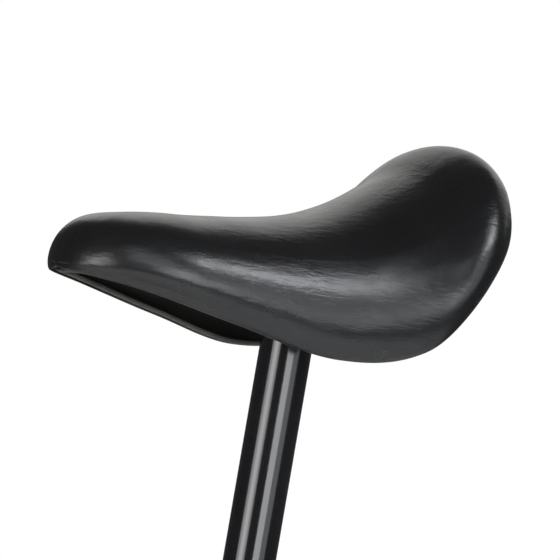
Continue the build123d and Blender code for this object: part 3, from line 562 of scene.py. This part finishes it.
def surface_normals(grid):
    du = np.gradient(grid, axis=0)
    dv = np.gradient(grid, axis=1)
    normal = np.cross(dv, du)
    normal = normal / np.maximum(np.linalg.norm(normal, axis=-1, keepdims=True), 1e-9)
    if normal[ALONG // 2, grid.shape[1] // 2, 2] < 0:
        normal = -normal
    return normal


def in_place(points):
    """Points of the saddle's form, from mm above DATUM to metres in the frame."""
    return points / MM_PER_M + np.array(DATUM)


# ---------------------------------------------------------------- the cover's wrinkles
FINE_DEPTH, CREASE_DEPTH, SAG_DEPTH = 0.05, 0.28, 0.15  # mm
CLOTH_X, CLOTH_V = 4, 2  # how many of the skin's quads one of the cloth's takes in
CLOTH_FRAMES, CLOTH_SLACK = 18, 0.03
HELD_ROWS, HELD_COLUMNS = 3, 2  # of the cloth's points, at each end and along each lower edge
BROAD_PASSES, FINE_PASSES = 40, 2  # smoothing that leaves the broad change, and that takes out noise
WRINKLE_SHARE, WRINKLE_MOST = 0.08, 0.12  # how much of the cloth's wrinkles is used, and at most, in mm
FADE_ROWS, FADE_COLUMNS = 25, 8  # where wrinkles fade towards the skin's ends and edges


def noise_at(point, stretch, shift=(0, 0, 0)):
    return Vector([p * s + d for p, s, d in zip(point, stretch, shift)])


def wrinkle(point, normal):
    """How far the vinyl's skin stands off the smooth form at a point, in mm."""
    flank = max(0.0, 1 - abs(normal[2]) * 1.3)  # the flanks wrinkle, and the seat does not
    fine = noise.fractal(noise_at(point, (0.055, 0.09, 0.24)), 0.8, 2.1, 5)
    ridged = 1 - abs(noise.noise(noise_at(point, (0.06, 0.06, 0.3), (9, 0, 4)))) * 2
    where = noise.noise(noise_at(point, (0.018, 0.02, 0.03), (3, 0, 0))) * 0.5 + 0.5
    crease = max(0.0, ridged - 0.55) * max(0.0, where - 0.35)
    sag = noise.noise(noise_at(point, (0.02, 0.02, 0.02), (0, 7, 0)))
    return flank * (FINE_DEPTH * fine + CREASE_DEPTH * crease) + SAG_DEPTH * sag


def spread_out(field, passes):
    """The field with its fine changes smoothed away."""
    for _ in range(passes):
        field = np.pad(field, 1, mode="edge")
        field = (field[1:-1] * 2 + field[:-2] + field[2:]) / 4
        field = (field[:, 1:-1] * 2 + field[:, :-2] + field[:, 2:]) / 4
    return field


def slack_cloth(grid):
    """Where a grid's points, in metres, go as a slack cloth, held at its edges and blown out."""
    rows, columns = grid.shape[:2]
    faces = []
    for i in range(rows - 1):
        for j in range(columns - 1):
            k = i * columns + j
            faces.append([k, k + columns, k + columns + 1, k + 1])
    mesh = bpy.data.meshes.new("cover_cloth")
    mesh.from_pydata(grid.reshape(-1, 3).tolist(), [], faces)
    cloth = bpy.data.objects.new("cover_cloth", mesh)
    scene.collection.objects.link(cloth)
    held = []
    for k in range(rows * columns):
        i, j = divmod(k, columns)
        if min(i, rows - 1 - i) < HELD_ROWS or min(j, columns - 1 - j) < HELD_COLUMNS:
            held.append(k)
    cloth.vertex_groups.new(name="held").add(held, 1.0, "REPLACE")
    settings = cloth.modifiers.new("cloth", "CLOTH").settings
    settings.quality = 5
    settings.mass = 0.3
    settings.tension_stiffness = settings.compression_stiffness = 18
    settings.shear_stiffness = 8
    settings.bending_stiffness = 0.4
    settings.shrink_min = -CLOTH_SLACK
    settings.use_pressure = True
    settings.uniform_pressure_force = 3.0
    settings.vertex_group_mass = "held"
    settings.effector_weights.gravity = 0
    for step in range(1, CLOTH_FRAMES + 1):
        scene.frame_set(step)
    moved = cloth.evaluated_get(bpy.context.evaluated_depsgraph_get()).data
    after = np.empty(rows * columns * 3)
    moved.vertices.foreach_get("co", after)
    bpy.data.objects.remove(cloth)
    scene.frame_set(1)
    return after.reshape(rows, columns, 3)


def cover_wrinkles(outer, normals):
    """How far the simulated cover wrinkles off the form at each of the skin's points, in mm."""
    coarse, facing = outer[::CLOTH_X, ::CLOTH_V], normals[::CLOTH_X, ::CLOTH_V]
    rows, columns = coarse.shape[:2]
    before = coarse[1:-1] / MM_PER_M
    amount = np.zeros((rows, columns))
    amount[1:-1] = ((slack_cloth(before) - before) * MM_PER_M * facing[1:-1]).sum(axis=-1)
    amount = spread_out(amount - spread_out(amount, BROAD_PASSES), FINE_PASSES)
    amount = np.clip(amount * WRINKLE_SHARE, -WRINKLE_MOST, WRINKLE_MOST)
    at_x, at_v = np.arange(outer.shape[0]) / CLOTH_X, np.arange(outer.shape[1]) / CLOTH_V
    wide = np.stack([np.interp(at_x, np.arange(rows), column) for column in amount.T], axis=1)
    return np.stack([np.interp(at_v, np.arange(columns), row) for row in wide])


def fading(count, reach):
    """A weight for each of count rows: 0 at both ends, and 1 beyond reach from them."""
    number = np.arange(count)
    return np.clip(np.minimum(number, count - 1 - number) / reach, 0, 1)


def wrinkled(outer):
    """The smooth outer skin with its wrinkles."""
    normals = surface_normals(outer)
    cloth = cover_wrinkles(outer, normals)
    rows, columns = outer.shape[:2]
    fade = np.outer(fading(rows, FADE_ROWS), fading(columns, FADE_COLUMNS))
    for i, j in np.argwhere(fade > 0):
        off = wrinkle(outer[i, j], normals[i, j]) + cloth[i, j]
        outer[i, j] += normals[i, j] * off * fade[i, j]
    return outer


# ---------------------------------------------------------------- saddle pad and hem, in mm
BEAD_R = 2.8  # how far the skins stop above the form's lower edge, for the rolled edge
EDGE_POWER, EDGE_DROP, EDGE_TURN = 0.9, 0.8, 0.5  # the rolled edge: boxiness, extra depth, lean
EDGE_RINGS = 14
INNER_SHARE, INNER_INSET = 0.70, 5.5  # the inner skin: its height beside the outer's, and its inset
# The hem's section: inset from the form, and height above its lower edge.
HEM_SECTION = [
    (8.9, 0.4), (8.9, 1.7), (9.1, 2.1), (9.5, 2.2), (9.9, 1.9),
    (10.1, 1.2), (10.1, 0.5), (9.9, -0.1), (9.5, -0.3), (9.1, -0.1),
]


def add_skin(vertices, faces, grid, outward):
    """Adds a skin that ends in one vertex at each end, and returns its lower edge as a loop."""
    rows, columns = grid.shape[:2]
    first = len(vertices)
    last = first + 1 + (rows - 2) * columns
    vertices.append(grid[0].mean(axis=0))
    vertices.extend(grid[1:-1].reshape(-1, 3))
    vertices.append(grid[-1].mean(axis=0))

    def number(i, j):
        if i == 0:
            return first
        return last if i == rows - 1 else first + 1 + (i - 1) * columns + j

    for i in range(rows - 1):
        for j in range(columns - 1):
            corners = [number(i, j), number(i + 1, j), number(i + 1, j + 1), number(i, j + 1)]
            corners = list(dict.fromkeys(corners))
            faces.append(corners if outward else corners[::-1])
    left = [number(i, 0) for i in range(rows)]
    right = [number(i, columns - 1) for i in range(rows - 2, 0, -1)]
    return left + right


def roll_edge(vertices, faces, outer_loop, inner_loop, lean):
    """Adds rings that turn from the outer skin's edge, under, and up to the inner one's."""
    start = np.array([vertices[k] for k in outer_loop])
    end = np.array([vertices[k] for k in inner_loop])
    count = len(outer_loop)
    rings = [outer_loop]
    for k in range(1, EDGE_RINGS):
        angle = math.pi * k / EDGE_RINGS
        across = (1 - math.cos(angle) + lean * math.sin(angle) * (1 + math.cos(angle))) / 2
        ring = start + (end - start) * across[:, None]
        ring[:, 2] -= (BEAD_R + EDGE_DROP) * math.sin(angle) ** EDGE_POWER
        rings.append(list(range(len(vertices), len(vertices) + count)))
        vertices.extend(ring)
    rings.append(inner_loop)
    for ring, following in zip(rings, rings[1:]):
        for k in range(count):
            n = (k + 1) % count
            faces.append([ring[n], ring[k], following[k], following[n]])


def make_saddle_pad():
    outer = wrinkled(eased(saddle_grid(0.0, 1.0, BEAD_R)))
    inner = saddle_grid(INNER_INSET, INNER_SHARE, BEAD_R)
    vertices, faces = [], []
    outer_loop = add_skin(vertices, faces, outer, True)
    inner_loop = add_skin(vertices, faces, inner, False)
    lower_height = np.abs(outer[:, LOWER, 2] - outer[:, 0, 2])
    lean = EDGE_TURN * tucked(lower_height) / TUCK
    roll_edge(vertices, faces, outer_loop, inner_loop, np.concatenate([lean, lean[-2:0:-1]]))
    return make_object("saddle_pad", in_place(np.array(vertices)), faces, "vinyl")


def make_hem():
    """The cover's raw edge, folded up inside the shell as a low band, painted pale brownish grey as a
    painted highlight along the inside of the rolled edge.
    """
    rings = []
    for inset, lift in HEM_SECTION:
        grid = saddle_grid(inset, 1.0, 0.0)
        ring = np.concatenate([grid[:, 0], grid[-2:0:-1, -1]])
        ring[:, 2] += lift
        rings.append(ring)
    points = in_place(np.concatenate(rings))
    return make_object("saddle_hem", points, closed_band(len(rings), len(rings[0])), "backing_painted_highlight")


pad = make_saddle_pad()
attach(pad, "seatpost")
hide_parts("saddle_cover", "saddle_foam")
hem = make_hem()
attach(hem, "seatpost")

# ---------------------------------------------------------------- tyre with its tread, in mm
TYRE_STEPS = 1440
# Across the tyre from its middle, and the radius there.
SIDEWALL = [
    (12.6, 203), (12.9, 207), (13.3, 210.5), (17.5, 215), (21.6, 221), (23.9, 228.5),
    (23.6, 235), (21.5, 241.5), (18.8, 245.8),
]
CAVITY = [(9.8, 203), (9.8, 210), (14, 214), (20.2, 226), (18, 238), (10, 247), (0, 249.5)]
CROWN_HALF, CROWN_POINTS = 16.6, 61
CROWN_FALL, CROWN_FALL_OUTER = 0.0128, 0.0000155  # by the square and the fourth power of y
TREAD_PITCH = 2 * math.pi / 60
TREAD_SLANT = 0.0022  # radians per mm across
INNER_GROOVE, OUTER_GROOVE = 5.2, 12.2  # where the grooves run round, between the rows of blocks
INNER_GROOVE_HALF, OUTER_GROOVE_HALF, GROOVE_DEPTH = 0.9, 0.7, 1.5
# The cuts between the blocks of each row: from and to how far across, where they start in the
# pitch, what share of it they take, and how deep they are.
TREAD_CUTS = [
    (0.0, INNER_GROOVE, 0.0, 0.16, 1.2),
    (INNER_GROOVE, OUTER_GROOVE, 0.5, 0.2, 1.6),
    (OUTER_GROOVE, math.inf, 0.0, 0.3, 1.8),
]


def tread_depth(angle, y):
    """How deep the tread is cut at an angle and a distance from the tyre's middle."""
    y = abs(y)
    deepest = 0.0
    if abs(y - INNER_GROOVE) < INNER_GROOVE_HALF or abs(y - OUTER_GROOVE) < OUTER_GROOVE_HALF:
        deepest = GROOVE_DEPTH
    for start, end, shift, share, depth in TREAD_CUTS:
        at = (angle + TREAD_PITCH * shift + TREAD_SLANT * y) % TREAD_PITCH / TREAD_PITCH
        if start <= y < end and at < share:
            deepest = max(deepest, depth)
    return deepest


def make_tyre():
    """The tyre's skin as one closed ring, with tread grooves pressed into its crown."""
    crown = []
    for y in np.linspace(-CROWN_HALF, CROWN_HALF, CROWN_POINTS):
        crown.append((y, TYRE_R * MM_PER_M - CROWN_FALL * y * y - CROWN_FALL_OUTER * y**4))
    section = [(-y, r) for y, r in SIDEWALL] + crown + SIDEWALL[::-1]
    section += CAVITY + [(-y, r) for y, r in reversed(CAVITY[:-1])]
    across, radius = np.array(section).T
    points = np.zeros((TYRE_STEPS, len(section), 3))
    for s in range(TYRE_STEPS):
        angle = 2 * math.pi * s / TYRE_STEPS
        cut = radius.copy()
        for j in range(len(SIDEWALL), len(SIDEWALL) + CROWN_POINTS):
            cut[j] -= tread_depth(angle, across[j])
        points[s] = np.stack([cut * math.cos(angle), across, cut * math.sin(angle)], axis=-1)
    points = points.reshape(-1, 3) / MM_PER_M + np.array([0, 0, AXLE_Z])
    return make_object("tyre_skin", points, closed_band(TYRE_STEPS, len(section)), "tyre")


tyre = make_tyre()
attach(tyre, "wheel")
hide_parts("tyre")

# ---------------------------------------------------------------- pedal studs and weld beads
STUD_LINES, STUD_STEP = (-0.0415, -0.0105, 0.0105, 0.0415), 0.006
STUDS_OUT = 4  # on each side of the middle one of a line
# A stud's rings from its foot, sunk in the pedal, to its top: half width and height.
STUD_RINGS = ((0.0015, -0.0003), (0.0014, 0.0003), (0.0008, 0.0012), (0.0005, 0.0013))
SQUARE = ((-1, -1), (1, -1), (1, 1), (-1, 1))


def add_stud(vertices, faces, x, y, z, up):
    first = len(vertices)
    quads = []
    for half, rise in STUD_RINGS:
        vertices.extend((x + a * half, y + b * half, z + up * rise) for a, b in SQUARE)
    for corner in range(first, first + 4 * (len(STUD_RINGS) - 1), 4):
        for k in range(4):
            n = (k + 1) % 4
            quads.append([corner + k, corner + n, corner + 4 + n, corner + 4 + k])
    quads.append(list(range(len(vertices) - 4, len(vertices))))
    quads.append(list(range(first + 3, first - 1, -1)))
    faces.extend(quad if up > 0 else quad[::-1] for quad in quads)


def make_studs(side):
    """Small blunt pyramids over and under a pedal's body, for grip."""
    low, high = (Vector(corner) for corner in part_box(f"{side}_pedal_body"))
    middle = (low + high) / 2
    vertices, faces = [], []
    for z, up in ((high.z, 1), (low.z, -1)):
        for x in STUD_LINES:
            for row in range(-STUDS_OUT, STUDS_OUT + 1):
                add_stud(vertices, faces, middle.x + x, middle.y + row * STUD_STEP, z, up)
    return make_object(f"{side}_pedal_studs", vertices, faces, "pedal_plastic", smooth=False)


for side in SIDES:
    studs = make_studs(side)
    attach(studs, f"{side}_pedal")


# Each weld's radius about its tube, the bead's own radius, and how many ripples it has.
SEAT_TUBE_WELD = (0.0162, 0.0021, 44)
LEG_WELD = (0.0113, 0.0017, 34)


def make_weld(name, centre, radius, size, ripples):
    """A rippled bead round a tube where it meets the crown."""
    steps, turns = ripples * 6, 14
    vertices = []
    for s in range(steps):
        angle = 2 * math.pi * s / steps
        swell = size * (0.92 + 0.1 * abs(math.sin(angle * ripples / 2)) + 0.04 * math.sin(angle * 5 + 1))
        for t in range(turns):
            turn = 2 * math.pi * t / turns
            out = radius + swell * math.cos(turn)
            place = (out * math.cos(angle), out * math.sin(angle), swell * math.sin(turn))
            vertices.append(centre + Vector(place))
    faces = [face[::-1] for face in closed_band(steps, turns)]
    return make_object(name, vertices, faces, "frame_paint")


crown_low, crown_high = (Vector(corner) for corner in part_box("fork_crown"))
welds = [make_weld("seat_tube_weld", Vector((0, 0, crown_high.z)), *SEAT_TUBE_WELD)]
for side in SIDES:
    leg_low, leg_high = (Vector(corner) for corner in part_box(f"{side}_fork_leg"))
    centre = Vector(((leg_low.x + leg_high.x) / 2, (leg_low.y + leg_high.y) / 2, crown_low.z))
    welds.append(make_weld(f"{side}_leg_weld", centre, *LEG_WELD))
for weld in welds:
    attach(weld, "frame")

# ---------------------------------------------------------------- floor
FLOOR_RADIUS, FLOOR_SIDES, FLOOR_Z = 1.4, 96, -0.0005


def make_floor():
    """A pale disc, which alone is lit by softbox_floor."""
    rim = []
    for k in range(FLOOR_SIDES):
        angle = 2 * math.pi * k / FLOOR_SIDES
        rim.append((FLOOR_RADIUS * math.cos(angle), FLOOR_RADIUS * math.sin(angle), FLOOR_Z))
    floor = make_object("floor", rim, [list(range(FLOOR_SIDES))], "floor", smooth=False)
    lit = bpy.data.collections.new("lit_floor")
    lit.objects.link(floor)
    lights["softbox_floor"].light_linking.receiver_collection = lit


make_floor()
